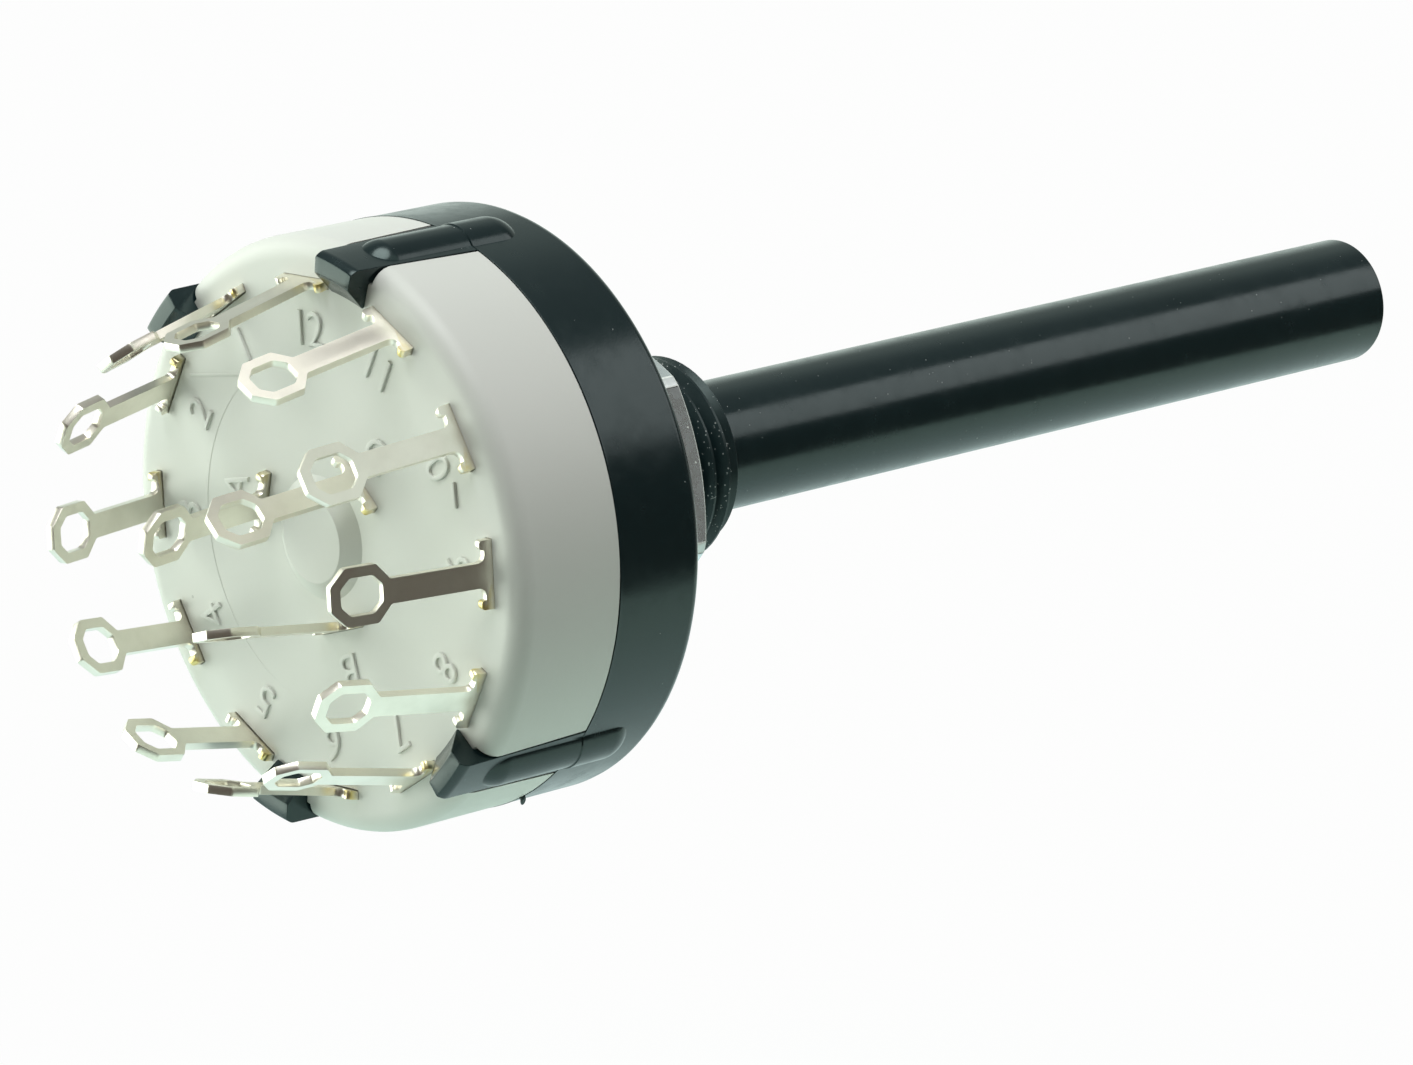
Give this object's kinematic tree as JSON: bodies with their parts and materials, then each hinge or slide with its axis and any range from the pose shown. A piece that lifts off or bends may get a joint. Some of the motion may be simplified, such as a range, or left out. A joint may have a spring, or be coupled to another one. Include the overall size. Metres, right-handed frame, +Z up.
{
  "type": "rotary switch",
  "caption": "Panel-mount rotary switch with a round two-tone body, ring of solder tags, threaded bush with nut and a long plastic shaft.",
  "frame": {"origin": "on the shaft's axis, in the plane of the housing's front rim, which meets the back of the panel", "axes": "+Y along the shaft's axis towards the solder tags, so the shaft points along -Y; +Z up, through the locating peg; +X completes the frame"},
  "size_m": [0.028, 0.0767, 0.028],
  "materials": {
    "housing_plastic": "black moulded plastic, satin",
    "stator_plastic": "light grey moulded plastic, satin",
    "rotor_plastic": "white moulded plastic, satin",
    "tag_metal": "silver plated brass sheet",
    "contact_metal": "silver plated spring bronze",
    "plated_steel": "nickel plated",
    "spring_steel": "bright steel"
  },
  "bodies": {
    "body": {"front_housing": "housing_plastic", "rear_stator": "stator_plastic", "stop_washer": "plated_steel", "lock_washer": "plated_steel", "hex_nut": "plated_steel", "terminal_1": "tag_metal", "terminal_2": "tag_metal", "terminal_3": "tag_metal", "terminal_4": "tag_metal", "terminal_5": "tag_metal", "terminal_6": "tag_metal", "terminal_7": "tag_metal", "terminal_8": "tag_metal", "terminal_9": "tag_metal", "terminal_10": "tag_metal", "terminal_11": "tag_metal", "terminal_12": "tag_metal", "pole_terminal_a": "tag_metal", "pole_terminal_b": "tag_metal", "pole_terminal_c": "tag_metal"},
    "rotor": {"spindle": "housing_plastic", "rotor": "rotor_plastic", "bridge_contact_a": "contact_metal", "bridge_contact_b": "contact_metal", "bridge_contact_c": "contact_metal", "detent_spring": "spring_steel"},
    "ball_1": {"detent_ball_1": "spring_steel"},
    "ball_2": {"detent_ball_2": "spring_steel"}
  },
  "joints": [
    {"name": "shaft_turn", "type": "hinge", "parent": "body", "child": "rotor", "pos_m": [0, 0, 0], "axis": [0, 1, 0], "range_deg": [0, 90]},
    {"name": "ball_1_slide", "type": "slide", "parent": "rotor", "child": "ball_1", "axis": [0, 0, -1], "range_m": [0, 0.0005]},
    {"name": "ball_2_slide", "type": "slide", "parent": "rotor", "child": "ball_2", "axis": [0, 0, 1], "range_m": [0, 0.0005]}
  ]
}
